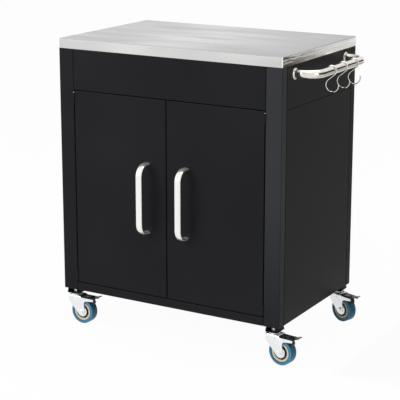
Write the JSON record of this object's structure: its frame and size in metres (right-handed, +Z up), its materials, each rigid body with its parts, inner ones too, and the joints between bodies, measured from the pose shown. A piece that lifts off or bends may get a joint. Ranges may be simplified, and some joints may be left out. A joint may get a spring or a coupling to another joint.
{
  "type": "grill cart",
  "caption": "Black two-door grill cart with a steel worktop, an inner shelf, a chrome side rail with S-hooks and swivelling, braked casters.",
  "frame": {"origin": "on the floor, at the middle of the overall length and depth", "axes": "+Z up, the doors face -Y, the side rail is on the +X side"},
  "size_m": [0.8604, 0.551, 0.918],
  "materials": {
    "steel_worktop": "fine brushed satin",
    "black_cabinet": "satin black powder coat",
    "board": "raw wood board, hidden",
    "zinc_steel": "bright zinc plate",
    "stainless_handle": "satin stainless steel",
    "chrome_rail": "bright polished",
    "black_catch": "matt moulded",
    "black_pedal": "satin black",
    "cream_rim": "moulded cream plastic",
    "blue_tyre": "smooth blue polyurethane"
  },
  "bodies": {
    "cabinet": {"worktop_skin": "steel_worktop", "worktop_board": "board", "worktop_screws": "zinc_steel", "post_front_left": "black_cabinet", "post_front_right": "black_cabinet", "post_back_left": "black_cabinet", "post_back_right": "black_cabinet", "base_pan": "black_cabinet", "front_apron": "black_cabinet", "side_band_left": "black_cabinet", "side_band_right": "black_cabinet", "side_panel_left": "black_cabinet", "side_panel_right": "black_cabinet", "back_panel": "black_cabinet", "inner_shelf": "black_cabinet", "shelf_rails": "black_cabinet", "hinge_frame_leaves": "black_cabinet", "hinge_pins": "zinc_steel", "magnetic_catch": "black_catch", "side_rail": "chrome_rail", "side_rail_flanges": "chrome_rail", "side_rail_bolts": "zinc_steel", "caster_brackets": "black_cabinet", "caster_heads": "zinc_steel", "caster_nuts": "zinc_steel"},
    "door_left": {"door_left_skin": "black_cabinet", "door_left_liner": "black_cabinet", "door_left_handle": "stainless_handle", "door_left_handle_screws": "zinc_steel", "door_left_hinge_leaves": "black_cabinet", "door_left_strike": "zinc_steel"},
    "door_right": {"door_right_skin": "black_cabinet", "door_right_liner": "black_cabinet", "door_right_handle": "stainless_handle", "door_right_handle_screws": "zinc_steel", "door_right_hinge_leaves": "black_cabinet", "door_right_strike": "zinc_steel"},
    "hook_1": {"s_hook_1": "chrome_rail"},
    "hook_2": {"s_hook_2": "chrome_rail"},
    "hook_3": {"s_hook_3": "chrome_rail"},
    "swivel_front_left": {"caster_front_left_fork": "zinc_steel", "caster_front_left_axle": "zinc_steel"},
    "wheel_front_left": {"caster_front_left_rim": "cream_rim", "caster_front_left_tyre": "blue_tyre"},
    "brake_front_left": {"caster_front_left_pedal": "black_pedal"},
    "swivel_front_right": {"caster_front_right_fork": "zinc_steel", "caster_front_right_axle": "zinc_steel"},
    "wheel_front_right": {"caster_front_right_rim": "cream_rim", "caster_front_right_tyre": "blue_tyre"},
    "brake_front_right": {"caster_front_right_pedal": "black_pedal"},
    "swivel_back_left": {"caster_back_left_fork": "zinc_steel", "caster_back_left_axle": "zinc_steel"},
    "wheel_back_left": {"caster_back_left_rim": "cream_rim", "caster_back_left_tyre": "blue_tyre"},
    "brake_back_left": {"caster_back_left_pedal": "black_pedal"},
    "swivel_back_right": {"caster_back_right_fork": "zinc_steel", "caster_back_right_axle": "zinc_steel"},
    "wheel_back_right": {"caster_back_right_rim": "cream_rim", "caster_back_right_tyre": "blue_tyre"},
    "brake_back_right": {"caster_back_right_pedal": "black_pedal"}
  },
  "joints": [
    {"name": "door_left_hinge", "type": "hinge", "parent": "cabinet", "child": "door_left", "pos_m": [-0.3767, -0.225, 0.45225], "axis": [0, 0, -1], "range_deg": [0, 120]},
    {"name": "door_right_hinge", "type": "hinge", "parent": "cabinet", "child": "door_right", "pos_m": [0.2863, -0.225, 0.45225], "axis": [0, 0, 1], "range_deg": [0, 120]},
    {"name": "hook_1_swing", "type": "hinge", "parent": "cabinet", "child": "hook_1", "pos_m": [0.4068, -0.0425, 0.8615], "axis": [0, 1, 0], "range_deg": [-60, 60]},
    {"name": "hook_2_swing", "type": "hinge", "parent": "cabinet", "child": "hook_2", "pos_m": [0.4068, 0.0355, 0.8615], "axis": [0, 1, 0], "range_deg": [-60, 60]},
    {"name": "hook_3_swing", "type": "hinge", "parent": "cabinet", "child": "hook_3", "pos_m": [0.4068, 0.1135, 0.8615], "axis": [0, 1, 0], "range_deg": [-60, 60]},
    {"name": "swivel_front_left", "type": "hinge", "parent": "cabinet", "child": "swivel_front_left", "pos_m": [-0.4022, -0.1965, 0.098], "axis": [0, 0, 1], "continuous": true},
    {"name": "roll_front_left", "type": "hinge", "parent": "swivel_front_left", "child": "wheel_front_left", "pos_m": [-0.3732, -0.1965, 0.04], "axis": [0, 1, 0], "continuous": true},
    {"name": "brake_front_left", "type": "hinge", "parent": "swivel_front_left", "child": "brake_front_left", "pos_m": [-0.3882, -0.1965, 0.084], "axis": [0, 1, 0], "range_deg": [0, 7]},
    {"name": "swivel_front_right", "type": "hinge", "parent": "cabinet", "child": "swivel_front_right", "pos_m": [0.3118, -0.1965, 0.098], "axis": [0, 0, 1], "continuous": true},
    {"name": "roll_front_right", "type": "hinge", "parent": "swivel_front_right", "child": "wheel_front_right", "pos_m": [0.34058, -0.20003, 0.04], "axis": [0.1219, 0.9925, 0], "continuous": true},
    {"name": "brake_front_right", "type": "hinge", "parent": "swivel_front_right", "child": "brake_front_right", "pos_m": [0.3257, -0.19821, 0.084], "axis": [0.1219, 0.9925, 0], "range_deg": [0, 7]},
    {"name": "swivel_back_left", "type": "hinge", "parent": "cabinet", "child": "swivel_back_left", "pos_m": [-0.4022, 0.2475, 0.098], "axis": [0, 0, 1], "continuous": true},
    {"name": "roll_back_left", "type": "hinge", "parent": "swivel_back_left", "child": "wheel_back_left", "pos_m": [-0.37383, 0.24147, 0.04], "axis": [0.2079, 0.9781, 0], "continuous": true},
    {"name": "brake_back_left", "type": "hinge", "parent": "swivel_back_left", "child": "brake_back_left", "pos_m": [-0.38851, 0.24459, 0.084], "axis": [0.2079, 0.9781, 0], "range_deg": [0, 7]},
    {"name": "swivel_back_right", "type": "hinge", "parent": "cabinet", "child": "swivel_back_right", "pos_m": [0.3118, 0.2475, 0.098], "axis": [0, 0, 1], "continuous": true},
    {"name": "roll_back_right", "type": "hinge", "parent": "swivel_back_right", "child": "wheel_back_right", "pos_m": [0.33905, 0.23758, 0.04], "axis": [0.342, 0.9397, 0], "continuous": true},
    {"name": "brake_back_right", "type": "hinge", "parent": "swivel_back_right", "child": "brake_back_right", "pos_m": [0.32496, 0.24271, 0.084], "axis": [0.342, 0.9397, 0], "range_deg": [0, 7]}
  ]
}
